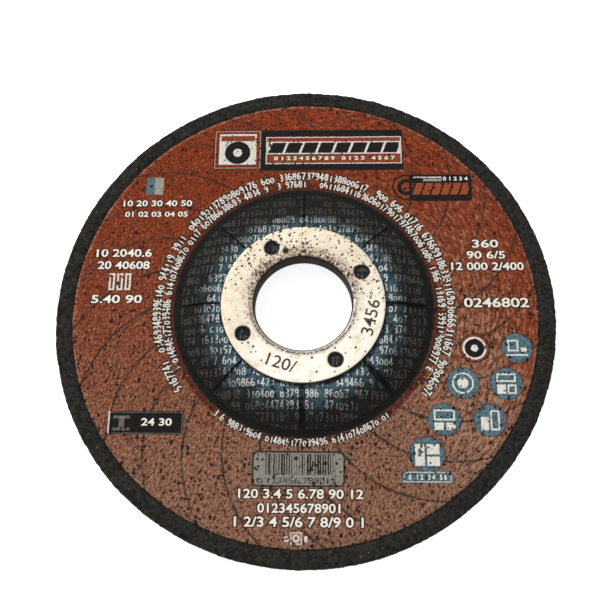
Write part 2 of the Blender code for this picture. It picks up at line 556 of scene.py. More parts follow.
def digit_group():
    """Small plain digits in equal cells, drawn with strokes. Lengths are in heights of a digit."""
    tree, given = new_group("small digits", Along=0.0, Up=9.0)
    cell = reckon("FLOOR", divided(given["Along"], DIGIT_PITCH))
    x = minus(given["Along"], times(plus(cell, 0.5), DIGIT_PITCH))
    dice = wired("ShaderNodeTexWhiteNoise", {"W": cell}, noise_dimensions="1D")
    kind, gap, _ = shades(dice["Color"])
    low = most(below(kind, 0.2), reckon("GREATER_THAN", kind, 0.84))
    up = times(given["Up"], times_plus(low, 0.33, 1.0))
    beyond = minus(size_of(minus(up, 0.5)), 0.5)
    to_left = below(x, -0.05)
    to_right = reckon("GREATER_THAN", x, 0.05)

    def among(first, last):
        return reckon("COMPARE", kind, (first + last) / 2, (last - first) / 2)

    def away(distance, amount):
        return times_plus(amount, 9.0, distance)

    def only(distance, first, last):
        return away(distance, minus(1.0, among(first, last)))

    def loop(middle, half_width, half_height):
        wide = divided(x, half_width)
        high = times_plus(up, 1 / half_height, -middle / half_height)
        reach = vector("LENGTH", joined(wide, high))
        steep = joined(divided(wide, half_width), divided(high, half_height))
        off = size_of(minus(reach, 1.0))
        return divided(times(off, reach), vector("LENGTH", steep))

    def level(height, half_width):
        past = minus(size_of(x), half_width)
        return most(size_of(minus(up, height)), past)

    def leaning(foot_x, foot, head_x, head):
        slope = (head_x - foot_x) / (head - foot)
        off = minus(x, times_plus(up, slope, foot_x - slope * foot))
        past = most(minus(foot, up), minus(up, head))
        return most(size_of(off), past)

    open_three = times(reckon("GREATER_THAN", kind, 0.52), to_left)
    six = times(among(0.2, 0.31), to_right)
    nine = times(among(0.31, 0.42), to_left)
    upright = most(size_of(minus(x, 0.07)), beyond)
    lower_loop = loop(0.28, 0.19, 0.25)
    strokes = [
        away(only(loop(0.5, 0.19, 0.47), 0.0, 0.42), plus(six, nine)),
        away(only(loop(0.74, 0.17, 0.22), 0.31, 0.64), open_three),
        away(only(lower_loop, 0.42, 0.64), open_three),
        only(lower_loop, 0.2, 0.31),
        only(level(0.96, 0.18), 0.64, 0.74),
        only(leaning(-0.08, 0.02, 0.16, 0.96), 0.64, 0.74),
        only(leaning(-0.2, 0.3, 0.06, 0.98), 0.74, 0.84),
        only(level(0.3, 0.24), 0.74, 0.84),
        only(upright, 0.74, 1.0),
    ]
    nearest = strokes[0]
    for stroke in strokes[1:]:
        nearest = reckon("MINIMUM", nearest, stroke)
    return closed_group(tree, Distance=away(nearest, below(gap, 0.13)))


DISC_PLACE = disc_place_group()
BOX = box_group()
PINHOLES = pinhole_group()
GRIT = grit_group()
SWEEPS = sweep_group()
DIGITS = digit_group()


def new_material(name):
    material = bpy.data.materials.new(name)
    material.use_nodes = True
    tree = material.node_tree
    tree.nodes.clear()
    shader = put(tree, "ShaderNodeBsdfPrincipled")
    feed(put(tree, "ShaderNodeOutputMaterial"), {"Surface": shader.outputs["BSDF"]})
    return material, tree, shader


def surface(shader, colour, rough, gloss, height, depth):
    """Feeds the shader what it shows, and a height of 0 to 1 as relief, depth millimetres deep."""
    bump = wired("ShaderNodeBump", {"Height": height, "Distance": depth * MM, "Strength": 1.0})
    values = {"Base Color": colour, "Roughness": rough, "Specular IOR Level": gloss}
    feed(shader, {**values, "Normal": bump["Normal"]})


def abrasive_material():
    """Black grain in resin, matt, with pale grains and open pores."""
    material, tree, shader = new_material("black_grain")
    disc = use(DISC_PLACE, tree)
    solid = disc["Solid"]
    grit = use(GRIT, Place=solid, Grain=0.75)
    colour = blend(ease(grit["Tone"], 0.3, 1.0), paint(22, 21, 19), paint(50, 48, 44))
    pale = pinholes(solid, 0.9, 0.22, 0.1)
    colour = coat(colour, paint(122, 118, 110), pale, 0.5)
    pores = pinholes(scaled(solid, 1.13), 1.1, 0.3, 0.3)
    colour = coat(colour, paint(20, 19, 18), pores, 0.5)
    # Painted shade: the body's top under the paper, seen only down the cuts, is darkened
    under_label = ease(disc["Radius"], 53.9, 53.4)
    above = times(under_label, ease(disc["Height"], 5.0, 5.4))
    colour = coat(colour, paint(10, 10, 9), above, 0.8)
    beneath = times(ease(disc["Height"], 4.95, 4.75), ease(disc["Radius"], 56.6, 55.8))
    strands = []
    for side in ("X", "Y"):
        step = fraction(divided(disc[side], NET_PITCH))
        off = times(size_of(minus(step, 0.5)), NET_PITCH)
        strands.append(within(off, NET_HALF_STRAND, 0.5))
    patchy = ease(clouds(solid, 2.6, 4.0, 0.6), 0.38, 0.6)
    net = times(most(*strands), times(beneath, patchy))
    colour = coat(colour, paint(68, 64, 56), net, 0.7)
    height = minus(grit["Height"], times(pores, 0.5))
    height = times_plus(net, 0.9, height)
    rough = ease(grit["Tone"], 0.2, 1.0, 0.95, 0.75)
    surface(shader, colour, rough, GRAIN_GLOSS, height, 0.14)
    return material


def rust_paper(disc):
    """The label's rust ground, worn pinkish-grey over the grains and painted paler by a glare, most of all
    in the lower half, with painted highlights on the ridges.
    """
    place, radius = disc["Place"], disc["Radius"]
    grit = use(GRIT, Place=place, Grain=0.75)
    round_about = joined(times(disc["Angle"], 0.4), times(radius, 1.5))
    ridges = clouds(round_about, 1.0, 3.0, 0.6)
    grain = clouds(drawn_out(place, 75, 1.6, 1.05), 0.5, 4.0, 0.74)
    cloud = clouds(place, 8.0, 4.0, 0.6)
    patches = clouds(place, 2.6, 3.0, 0.6)
    level = times_plus(cloud, 22.0, disc["Y"])
    level = times_plus(patches, 16.0, level)
    level = times_plus(disc["X"], -0.2, level)
    level = plus(level, ease(disc["X"], 41.0, 52.0, 0.0, 28.0))
    # Painted glare with wear: towards the bottom the ground turns paler and greyer
    wear_and_glare = ramp(level, 52.0, -14.0)
    upper_right = ease(times_plus(disc["Y"], 0.4, disc["X"]), 5.0, 32.0, 0.1, 0.72)
    crease = pick(upper_right, grain, ridges)
    proud = times_plus(wear_and_glare, 0.09, crease)
    first = ramp(wear_and_glare, 0.0, 1.0, 0.56, 0.5)
    full = ramp(wear_and_glare, 0.0, 1.0, 0.7, 0.72)
    flecks = ease(proud, first, full)
    # Painted highlights with wear: pale flecks on the ridges, most towards the upper right
    rubbed = times(flecks, ramp(upper_right, 0.1, 0.72, 0.68, 0.9))
    tone = ease(grit["Tone"], 0.35, 0.9, 0.8, 1.22)
    sheen = ease(proud, 0.35, 0.69, 0.52, 1.5)
    sheen = times(sheen, ease(patches, 0.3, 0.7, 0.84, 1.16))
    ground = toned(blend(wear_and_glare, RUST, RUST_LOW_WORN_AND_GLARED), times(tone, sheen))
    colour = blend(rubbed, ground, blend(wear_and_glare, WORN_AND_HIGHLIGHT, WORN_AND_GLARE_LOW))
    flakes = clouds(place, 1.3, 4.0, 0.7)
    torn = times(band(radius, LABEL_RADIUS - 0.5, LABEL_RADIUS + 0.5), 0.6)
    colour = blend(times(torn, ease(flakes, 0.47, 0.58, 0.15, 1.0)), colour, WORN_AND_GLARE_LOW)
    shoulder = band(minus(radius, 30.9), -0.7, 0.6)
    colour = coat(colour, RUST_DEEP, shoulder, 0.92)
    lines = use(SWEEPS, Place=place, Radius=radius, Angle=disc["Angle"])["Mask"]
    strength = ease(disc["Y"], 30.0, -5.0, 0.75, 0.88)
    colour = coat(colour, paint(46, 41, 37), lines, strength)
    blots = ease(flakes, 0.62, 0.69)
    colour = coat(colour, PIT, blots, 0.75)
    return colour, times_plus(crease, 1.2, grit["Height"]), grit["Tone"]


def hub_paper(disc, under):
    """Black ring at the shoulder, and a ground that turns from black to blue towards the bore."""
    place, radius = disc["Place"], disc["Radius"]
    cloud = times_plus(clouds(place, 3.5, 4.0, 0.6), 8.0, radius)
    low = times_plus(disc["Y"], 0.06, cloud)
    colour = blend(ease(low, 22.0, 28.5), HUB_BLUE, HUB_BLACK)
    rim = band(radius, 28.4, 29.6)
    colour = coat(colour, paint(17, 17, 16), rim, 0.8)
    return blend(within(radius, HUB_PRINT_EDGE, 0.4), under, colour)


def hub_shadow(disc):
    """Painted shadow round the flange, wider to the lower right, painted shade along the eight cuts, and
    the dark under the flange.
    """
    radius, angle = disc["Radius"], disc["Angle"]
    ripple = times(minus(clouds(disc["Place"], 1.1, 3.0, 0.6), 0.5), 1.2)
    lower_right = reckon("COSINE", times_plus(angle, math.radians(1), math.radians(50)))
    reach = ease(lower_right, 0.2, 1.0, 0.3, 0.9)
    beyond = minus(minus(radius, FLANGE_RADIUS), reach)
    flange = fill(plus(beyond, ripple), 0.4)
    fold = reckon("SINE", times(from_nearest(angle, 45), math.radians(45)))
    beside = times(size_of(fold), radius)
    width = ease(lower_right, 0.0, 1.0, 0.28, 0.8)
    cut = fill(minus(plus(beside, times(ripple, 0.5)), width), 0.3)
    cut = times(cut, within(radius, SLIT_END, 1.0))
    return times(most(flange, cut), 0.88)


class Press:
    """Prints flat shapes on the label, one ink at a time, in millimetres across the disc.

    The ink laid so far and the share of paper that still shows are kept apart until the end.
    """

    def __init__(self, disc):
        self.x = disc["X"]
        self.y = disc["Y"]
        self.place = disc["Place"]
        self.laid = (0, 0, 0, 1)
        self.bare = 1.0

    def ink(self, mask, colour, strength=1.0):
        if strength < 1.0:
            mask = times(mask, strength)
        self.laid = blend(mask, self.laid, colour)
        self.bare = pick(mask, self.bare, 0.0)

    def over(self, paper):
        """The paper with all the ink on it."""
        shown = blend(self.bare, (0, 0, 0, 1), paper)
        return blend(1.0, shown, self.laid, mode="ADD")

    def box(self, left, right, bottom, top, corner=0.0):
        sides = {"Centre_X": (left + right) / 2, "Half_Width": (right - left) / 2}
        sides.update(Centre_Y=(bottom + top) / 2, Half_Height=(top - bottom) / 2)
        return use(BOX, X=self.x, Y=self.y, Corner=corner, **sides)["Distance"]

    def field(self, colour, *sides, corner=0.0, strength=1.0):
        self.ink(fill(self.box(*sides, corner=corner)), colour, strength)

    def frame(self, colour, *sides, width=0.4, corner=0.0, strength=1.0):
        self.ink(band(self.box(*sides, corner=corner), -width, 0.0), colour, strength)

    def disc(self, colour, x, y, outer, inner=None, strength=1.0):
        distance = vector("DISTANCE", self.place, (x, y, 0))
        mask = within(distance, outer) if inner is None else band(distance, inner, outer)
        self.ink(mask, colour, strength)

    def slanted(self, colour, left, right, bottom, top, pitch, share, slant=0.35):
        """A row of leaning blocks that fills the box."""
        lean = times_plus(self.y, -slant, self.x)
        start = left - slant * bottom
        step = fraction(times_plus(lean, 1 / pitch, 4 - start / pitch))
        block = size_of(minus(step, share / 2))
        block = times(minus(block, share / 2), pitch)
        self.ink(fill(most(block, self.box(left, right, bottom, top))), colour)


def print_banner(press):
    """Black banner over the hub with a cream band of plain leaning blocks."""
    press.field(INK_BLACK, -10.8, 23.9, 35.5, 46.7)
    press.frame(CREAM_FIELD, -9.7, 23.6, 37.3, 44.8, width=0.25)
    press.field(RUST_PRINT, -9.4, 23.3, 43.6, 44.55)
    press.field(CREAM_FIELD, -9.4, 23.3, 40.0, 43.5)
    press.slanted(INK_BLACK, -9.1, 23.0, 40.3, 43.2, pitch=4.01, share=0.86)
    press.field(RUST_PRINT, -9.4, 23.3, 37.6, 39.8)


def print_square_tag(press):
    """Cream square with a plain wheel."""
    press.frame(INK_BLACK, -22.6, -10.8, 35.9, 46.8, width=0.22)
    press.frame(CREAM_FIELD, -22.35, -11.05, 36.15, 46.55, width=0.18, strength=0.5)
    press.field(CREAM_FIELD, -21.3, -12.1, 37.2, 45.7)
    press.field(RUST_PRINT, -20.9, -12.5, 43.7, 45.2)
    press.disc(INK_BLACK, -16.7, 40.5, 3.15, inner=1.1)


def print_side_tag(press):
    """Black tag at the upper right with rust blocks under a stepped line."""
    press.disc(INK_BLACK, 24.5, 30.8, 3.4, inner=3.0)
    press.disc(RUST_PRINT, 24.5, 30.8, 2.6)
    press.disc(INK_BLACK, 24.5, 30.8, 2.2, inner=1.2)
    press.field(INK_BLACK, 25.2, 40.2, 27.1, 34.2, corner=0.8)
    press.field(CREAM_FIELD, 26.3, 33.0, 33.25, 33.6)
    press.field(GREY_PRINT, 28.6, 33.0, 32.4, 33.0)
    press.slanted(paint(152, 74, 44), 25.9, 39.4, 28.8, 31.9, pitch=2.25, share=0.8)


def print_patch(press):
    """Two-tone patch at the upper left."""
    press.field(BADGE_BLUE, -38.7, -36.6, 29.1, 33.7)
    press.field(GREY_PRINT, -36.6, -34.5, 29.1, 33.7)


def print_use_tag(press):
    """Black tag at the lower left with a plain rolled section."""
    press.field(INK_BLACK, -43.1, -26.3, -29.5, -24.25)
    press.frame(GREY_PRINT, -42.9, -26.5, -29.3, -24.45, width=0.16, strength=0.45)
    press.field(CREAM, -43.1, -42.8, -29.5, -24.25)
    for sides in SECTION_BLOCKS:
        press.field(GREY_PRINT, *sides, strength=0.4)


def print_plate(press):
    """Grey plate under the hub with upright bars of uneven width."""
    press.field(paint(148, 142, 132), -10.8, 9.4, -40.6, -32.9, corner=1.3)
    press.frame(paint(46, 50, 47), -10.8, 9.4, -40.6, -32.9, width=0.4, corner=1.3)
    step = divided(press.x, 0.56)
    dice = wired("ShaderNodeTexWhiteNoise", {"W": reckon("FLOOR", step)}, noise_dimensions="1D")
    width = times_plus(dice["Value"], 0.75, 0.1)
    dark = below(fraction(step), width)
    inside = fill(press.box(-8.0, 7.3, -38.0, -33.5))
    press.ink(times(dark, inside), paint(50, 48, 44))


def print_badges(press):
    """Round badges at the lower right, blue with plain cream marks, and one ringed in rust."""
    press.disc(INK_BLACK, 38.6, -9.56, 3.4, inner=3.15)
    press.disc(RUST_PRINT, 38.6, -9.56, 3.1, inner=2.7)
    press.disc(CREAM, 38.6, -9.56, 2.65)
    press.disc(INK_BLACK, 38.6, -9.56, 2.2)
    press.disc(CREAM, 38.6, -9.56, 0.8)
    for x, y, radius in BADGES:
        press.disc(paint(44, 46, 46), x, y, radius + 0.12, strength=0.7)
        press.disc(BADGE_BLUE, x, y, radius - 0.08)
    press.disc(CREAM, 35.6, -17.6, 2.4, inner=2.05)
    press.disc(CREAM, 35.6, -17.6, 1.2)
    for sides in BADGE_BLOCKS:
        press.field(CREAM, *sides)
    for sides in BADGE_FRAMES:
        press.frame(CREAM, *sides, width=0.35)
    press.field(BADGE_BLUE, 25.2, 25.9, -33.9, -32.2)
    press.field(BADGE_BLUE, 21.6, 32.4, -39.6, -37.0)
    press.frame(CREAM, 21.9, 32.1, -39.4, -37.2, width=0.2, strength=0.8)


def print_open_blocks(press):
    """Three tall open blocks between the rows at the left."""
    for left in (-45.8, -43.9, -42.0):
        press.frame(CREAM, left, left + 1.35, 4.4, 8.6, width=0.4)


def print_foot_marks(press):
    """A small square with a ring in it, a ring and a block at the label's lower edge."""
    press.frame(CREAM, -2.2, 0.2, -52.5, -50.0, width=0.22, strength=0.9)
    press.disc(CREAM, -1.0, -51.25, 0.8, inner=0.4, strength=0.9)
    press.disc(CREAM, -3.1, -51.4, 0.6, inner=0.3, strength=0.9)
    press.field(CREAM, 0.7, 1.4, -52.0, -50.8, strength=0.9)


def print_rows(press, disc):
    """Rows of small digits that follow the hub, and the level rows on the hub itself."""
    radius, angle = disc["Radius"], disc["Angle"]
    along, up, shown = 0.0, 9.0, 0.0

    def curved(inner, outer, first, last, sunward):
        """Digits on an arc from angle first to last, their feet towards the bore if sunward is 1."""
        nonlocal along, up, shown
        height = outer - inner
        turn = reckon("WRAP", minus(angle, (first + last) / 2), 180.0, -180.0)
        between_ends = below(size_of(turn), (last - first) / 2)
        here = times_plus(turn, -sunward * math.radians(inner) / height, 3000.0 + 50 * inner)
        foot = inner if sunward > 0 else outer
        rise = times(minus(radius, foot), sunward / height)
        on_row = below(size_of(minus(rise, 0.5)), 0.66)
        inside = times(between_ends, on_row)
        along = pick(inside, along, here)
        up = pick(inside, up, rise)
        shown = most(inside, shown)

    curved(33.1, 34.85, -37.0, 216.0, 1)
    curved(31.0, 32.65, -27.5, 207.0, 1)
    curved(30.35, 31.8, -130.0, -52.0, -1)
    marks = use(DIGITS, Along=along, Up=up)["Distance"]
    halo = times(within(marks, 0.3), shown)
    press.ink(halo, INK_BLACK, strength=0.96)
    strokes = times(within(marks, 0.088, 0.06), shown)
    press.ink(strokes, CREAM)

    row = reckon("FLOOR", divided(minus(disc["Y"], HUB_ROW_BASE), HUB_ROW_PITCH))
    above = minus(disc["Y"], times_plus(row, HUB_ROW_PITCH, HUB_ROW_BASE))
    up = divided(above, HUB_ROW_HEIGHT)
    along = times_plus(row, 177.3, divided(disc["X"], HUB_ROW_HEIGHT))
    marks = use(DIGITS, Along=along, Up=up)["Distance"]
    fading = times_plus(clouds(press.place, 2.5, 3.0), 6.0, radius)
    fading = times_plus(disc["Y"], 0.06, fading)
    tone = ease(fading, 22.0, 27.5)
    colour = blend(tone, paint(244, 244, 238), paint(76, 76, 72))
    on_hub = within(radius, 28.2, 0.6)
    stroke = times(within(marks, 0.06, 0.07), on_hub)
    press.ink(times(stroke, ease(disc["Y"], 27.0, 19.0, 0.6, 0.92)), colour)


def label_material():
    """Printed paper pressed on the grit: rust ground, hub print, fields, rows and pits."""
    material, tree, shader = new_material("printed_paper")
    disc = use(DISC_PLACE, tree, Waver=0.22)
    press = Press(disc)
    for lay_print in (
        print_banner, print_square_tag, print_side_tag, print_patch, print_use_tag,
        print_plate, print_badges, print_open_blocks, print_foot_marks,
    ):
        lay_print(press)
    print_rows(press, disc)
    ground, relief, tone = rust_paper(disc)
    printed = press.over(hub_paper(disc, ground))
    solid = disc["Solid"]
    red, _, blue = shades(printed)
    blue_ink = ease(minus(blue, red), 0.005, 0.05)
    thin_ink = ease(clouds(solid, 0.75, 4.0, 0.7), 0.33, 0.62, 0.45, 1.2)
    printed = toned(printed, pick(blue_ink, 1.0, thin_ink))
    lower = ease(disc["Y"], 8.0, -30.0)
    clusters = ease(clouds(solid, 3.1, 2.0), 0.35, 0.65, 0.55, 1.35)
    small = times(clusters, times_plus(lower, 0.32, 0.28))
    holes = pinholes(solid, 0.85, 0.3, small)
    upright = drawn_out(solid, 80, 1.35, 0.85)
    large = times(clusters, times_plus(lower, 0.28, 0.26))
    nicks = pinholes(upright, 1.15, 0.42, large)
    dark = most(holes, nicks)
    colour = coat(printed, PIT, dark, 0.94)
    # Painted glints: pale flecks on the bare rust, more towards the bottom
    pale = times_plus(lower, 0.3, 0.2)
    specks = pinholes(scaled(solid, 1.31), 0.85, 0.26, pale)
    on_rust = times(press.bare, ease(disc["Radius"], HUB_PRINT_EDGE, 30.8))
    specks = times(specks, on_rust)
    colour = coat(colour, paint(196, 158, 138), specks, 0.5)
    # Painted shadow and shade from the flange and the cuts
    colour = blend(hub_shadow(disc), colour, paint(15, 14, 13))
    # Painted light: the print under the flange, seen only through the holes, is lightened against the
    # holes' shade
    beneath = ease(disc["Radius"], FLANGE_RADIUS, FLANGE_RADIUS - 0.4)
    colour = toned(colour, pick(beneath, 1.0, 1.3))
    height = times_plus(dark, -0.6, relief)
    rough = ease(tone, 0.2, 1.0, 0.75, 0.55)
    surface(shader, colour, rough, PRINT_GLOSS, height, 0.34)
    return material


def numeral_material():
    """Cream ink of the large numerals, broken by the same pinholes as the paper."""
    material, tree, shader = new_material("cream_ink")
    solid = use(DISC_PLACE, tree)["Solid"]
    holes = pinholes(solid, 1.25, 0.22, 0.35)
    worn = ease(clouds(solid, 0.6, 3.0, 0.6), 0.35, 0.65)
    colour = blend(worn, paint(222, 215, 202), paint(240, 236, 226))
    colour = coat(colour, paint(48, 36, 30), holes, 0.8)
    surface(shader, colour, 0.6, PRINT_GLOSS, use(GRIT, Place=solid, Grain=0.9)["Height"], 0.1)
    return material


def dark_ink(name, deep, rubbed):
    """Dark ink, rubbed through in places."""
    material, tree, shader = new_material(name)
    solid = use(DISC_PLACE, tree)["Solid"]
    worn = ease(clouds(solid, 0.8, 3.0, 0.6), 0.42, 0.6)
    colour = blend(worn, deep, rubbed)
    surface(shader, colour, 0.7, PRINT_GLOSS, use(GRIT, Place=solid, Grain=0.65)["Height"], 0.1)
    return material


def ring_material():
    """Pale plated steel, painted lighter low and darker to the left, with painted shade and stain round
    the lip, painted shade and resin round the holes, and dark specks.
    """
    material, tree, shader = new_material("plated_steel")
    disc = use(DISC_PLACE, tree, Waver=0.12)
    solid, place, radius, angle = disc["Solid"], disc["Place"], disc["Radius"], disc["Angle"]
    cloud = clouds(place, 2.2, 4.0, 0.6)
    upward = times_plus(disc["X"], 0.2, disc["Y"])
    # Painted light and shade: the plating is lighter towards the lower right and darker to the left
    towards_lamp = times_plus(disc["X"], -0.5, disc["Y"])
    colour = blend(ease(towards_lamp, -12.0, 4.0), PLATED_PAINTED_LIGHT, PLATED)
    colour = toned(colour, ease(disc["X"], -3.0, -14.0, 1.0, 0.86))
    colour = blend(ease(cloud, 0.45, 0.75, 0.0, 0.7), colour, paint(190, 168, 138))
    # Painted shade with stain round the lip's bend, mostly on the upper side
    upper_side = ease(disc["Y"], -4.0, 8.0)
    near_lip = ease(radius, 14.7, 12.2)
    mottle = ease(clouds(place, 0.6, 4.0, 0.7), 0.39, 0.53)
    stain_and_shade = times(times(mottle, near_lip), upper_side)
    lip_stain_and_shade = times(mottle, band(radius, 11.5, 12.5))
    stain_and_shade = most(stain_and_shade, times(lip_stain_and_shade, 0.6))
    colour = coat(colour, paint(98, 72, 54), stain_and_shade, 0.85)
    edge = band(radius, FLANGE_RADIUS - 0.16, FLANGE_RADIUS + 1.0)
    colour = coat(colour, paint(70, 58, 48), edge, 0.7)
    specks = pinholes(solid, 0.7, 0.33, 0.55)
    large = pinholes(scaled(solid, 1.07), 1.1, 0.42, 0.3)
    tiny = pinholes(scaled(solid, 1.25), 0.8, 0.4, 0.5)
    few = pinholes(scaled(solid, 1.2), 1.3, 0.36, 0.4)
    crowded = ease(times_plus(cloud, 14.0, upward), 6.0, 14.0)
    crowd = times(most(specks, large), crowded)
    blots = pinholes(scaled(solid, 1.4), 1.0, 0.6, 0.6)
    by_lip = times(ease(radius, 14.4, 12.6), upper_side)
    left_of_lip = times(ease(radius, 16.2, 12.4), ease(disc["Y"], -12.0, -1.0))
    left_of_lip = times(left_of_lip, ease(disc["X"], 2.0, -7.0))
    spots = most(most(crowd, few), times(blots, by_lip))
    spots = most(spots, times(tiny, left_of_lip))
    colour = coat(colour, SPECK, spots, 0.94)

    # Painted shade with resin: a dark ring round each dimpled hole
    fold = times(from_nearest(minus(angle, math.degrees(HOLE_START)), 90), math.pi / 2)
    beside = times(radius, reckon("SINE", fold))
    along = minus(times(radius, reckon("COSINE", fold)), HOLE_PITCH)
    from_hole = vector("LENGTH", joined(along, beside))
    from_hole = times_plus(cloud, 0.7, from_hole)
    colour = blend(ease(from_hole, 2.35, 2.05), colour, paint(28, 22, 19))
    from_pit = times_plus(mottle, 0.25, vector("DISTANCE", place, DENT))
    pit = within(from_pit, 0.9, 0.25)
    colour = blend(pit, colour, paint(26, 22, 20))
    # Painted shade on the lip's lower side, with a dark line where it bends, and a dark line all round its
    # inner edge
    lower = ease(disc["Y"], 3.0, -5.0)
    shade = times(ease(radius, 13.3, 11.7), lower)
    colour = coat(colour, paint(128, 120, 108), shade, 0.45)
    crease = times(band(radius, 11.85, 12.2), lower)
    colour = coat(colour, paint(70, 62, 54), crease, mottle)
    lip_line = times(band(radius, 11.1, 11.45), 0.75)
    colour = blend(lip_line, colour, paint(70, 62, 54))
    neck = ease(disc["Height"], 9.93, 9.72)
    inner = times(neck, below(radius, 12.2))
    wall = blend(times(mottle, 0.5), paint(14, 13, 12), paint(44, 32, 24))
    colour = blend(inner, colour, wall)
    dull = most(most(inner, pit), ease(from_hole, 2.5, 2.0))
    rough = times_plus(dull, 0.35, ease(cloud, 0.3, 0.7, 0.36, 0.5))
    metal = times_plus(dull, -0.4, 0.42)
    feed(shader, {"Metallic": metal})
    scratches = clouds(joined(times(angle, 0.06), radius), 0.12, 3.0)
    height = times_plus(scratches, 0.3, clouds(solid, 1.1, 3.0))
    surface(shader, colour, rough, METAL_GLOSS, minus(height, times(few, 0.5)), 0.05)
    return material


def stamp_material():
    """Dark bottoms of the numerals struck into the ring."""
    material, tree, shader = new_material("struck_numerals")
    solid = use(DISC_PLACE, tree)["Solid"]
    patch = ease(clouds(solid, 0.35, 3.0), 0.35, 0.7)
    colour = blend(patch, paint(44, 33, 27), paint(92, 70, 54))
    surface(shader, colour, 0.7, STRUCK_GLOSS, patch, 0.05)
    return material


def seen_plainly(tree):
    """1 where the camera looks straight, by reflection or through something clear."""
    path = put(tree, "ShaderNodeLightPath").outputs
    seen = most(path["Is Camera Ray"], path["Is Glossy Ray"])
    return most(seen, path["Is Transmission Ray"])


def floor_material():
    """Pale floor that shows white to the camera and in reflections, and keeps the shadow."""
    material, tree, shader = new_material("pale_floor")
    seen = seen_plainly(tree)
    feed(shader, {"Base Color": paint(240, 240, 240), "Roughness": 1.0, "Specular IOR Level": 0.0})
    feed(shader, {"Emission Color": (1, 1, 1, 1), "Emission Strength": times(seen, 0.82)})
    return material


def moulded_body(material):
    """The body: bare rim band, seat under the label, raised hub and the recess beneath it."""
    section = rounded([
        (BODY_BORE_RADIUS, RECESS_FLOOR, 0.4),
        (BODY_BORE_RADIUS, HUB_TOP, 0.4),
        (HUB_RADIUS, HUB_TOP, HUB_ROUNDING),
        (SHOULDER_RADIUS, SEAT_TOP, HUB_ROUNDING),
        (SEAT_RADIUS, SEAT_TOP, 0),
        (SEAT_RADIUS + 0.15, RIM_TOP, 0),
        (DISC_RADIUS, RIM_TOP, RIM_EDGE),
        (DISC_RADIUS, 0.0, RIM_EDGE),
        (RECESS_MOUTH, 0.0, 2.0),
        (RECESS_RADIUS, RECESS_FLOOR, 2.0),
    ])
    bm = turned(spaced(section, 1.35), BODY_STEPS)
    roughened(bm, GRAIN_LUMPS, lambda v: 1.5 if v.co.xy.length > ROUGH_RIM_RADIUS else 1.0)
    return finished(bm, "moulded_body", material, sharp=80)


def slit_side(vert):
    """Which slit a point lies on and the side of it that its faces are on, or None."""
    angle = math.degrees(math.atan2(vert.co.y, vert.co.x))
    slit = round(angle / 45)
    if abs(angle - 45 * slit) > 0.01 or vert.co.xy.length > SLIT_END or not vert.link_faces:
        return None
    middle = sum((f.calc_center_median() for f in vert.link_faces), Vector()) / len(vert.link_faces)
    ahead = math.degrees(math.atan2(middle.y, middle.x)) - angle
    ahead = (ahead + 180) % 360 - 180
    return (slit % 8, math.copysign(1, ahead)) if abs(ahead) > 1e-4 else None


def between(value, places, heights):
    """Straight-line value between table points."""
    for (a, b), (low, high) in zip(zip(places, places[1:]), zip(heights, heights[1:])):
        if value <= b:
            return low + (high - low) * max(0.0, (value - a) / (b - a))
    return heights[-1]


def paper_label(material):
    """The paper: one sheet over hub, slope and seat, cut and opened at eight places."""
    section = rounded([
        (LABEL_BORE_RADIUS, HUB_TOP + PAPER, 0),
        (HUB_RADIUS, HUB_TOP + PAPER, HUB_ROUNDING),
        (SHOULDER_RADIUS, LABEL_TOP, HUB_ROUNDING),
        (LABEL_RADIUS, LABEL_TOP, 0),
    ])
    bm = turned(spaced(section, 0.9, closed=False), LABEL_STEPS, closed=False)
    if sum(f.normal.z for f in bm.faces) < 0:
        bmesh.ops.reverse_faces(bm, faces=bm.faces)
    cuts = [
        e for e in bm.edges
        if all(abs((math.degrees(math.atan2(v.co.y, v.co.x)) + 0.001) % 45) < 0.01 for v in e.verts)
        and all(v.co.xy.length < SLIT_END for v in e.verts)
        and abs(e.verts[0].co.xy.length - e.verts[1].co.xy.length) > 0.05
    ]
    bmesh.ops.split_edges(bm, edges=cuts)
    sides = {v: slit_side(v) for v in bm.verts}
    moves = {}
    for v, found in sides.items():
        if found is None:
            continue
        radius = v.co.xy.length
        width = between(radius, SLIT_RADII, SLIT_WIDTHS[found[0]])
        ragged = noise.noise(v.co / 0.8 + Vector((0, 0, found[1] * 5))) * 0.12
        tangent = Vector((-v.co.y, v.co.x, 0)).normalized()
        curl = Vector((0, 0, 0.12 * min(1.0, width)))
        moves[v] = tangent * found[1] * max(0.0, width / 2 + ragged * min(1, width * 3)) + curl
    for v, move in moves.items():
        v.co += move
    roughened(bm, PAPER_LUMPS)
    for v in bm.verts:
        radius = v.co.xy.length
        if radius > LABEL_RADIUS - 0.4:
            v.co.xy *= 1 + 0.12 * noise.noise(v.co / 1.3) / radius
    label = finished(bm, "printed_label", material, sharp=60)
    sheet = label.modifiers.new("paper", "SOLIDIFY")
    sheet.thickness = PAPER * MM
    sheet.offset = -1.0
    return label


def hole_punch():
    """A flared plug the shape of one dimpled hole, on the bore axis."""
    section = rounded([
        (0.0, RING_TOP - 1.2, 0),
        (1.15, RING_TOP - 1.2, 0),
        (1.2, RING_TOP - SHEET, 0.3),
        (1.75, RING_TOP - 0.05, 0.35),
        (2.15, RING_TOP + 0.02, 0),
        (2.15, RING_TOP + 0.5, 0),
        (0.0, RING_TOP + 0.5, 0),
    ], steps=4)
    return turned(section, HOLE_STEPS)


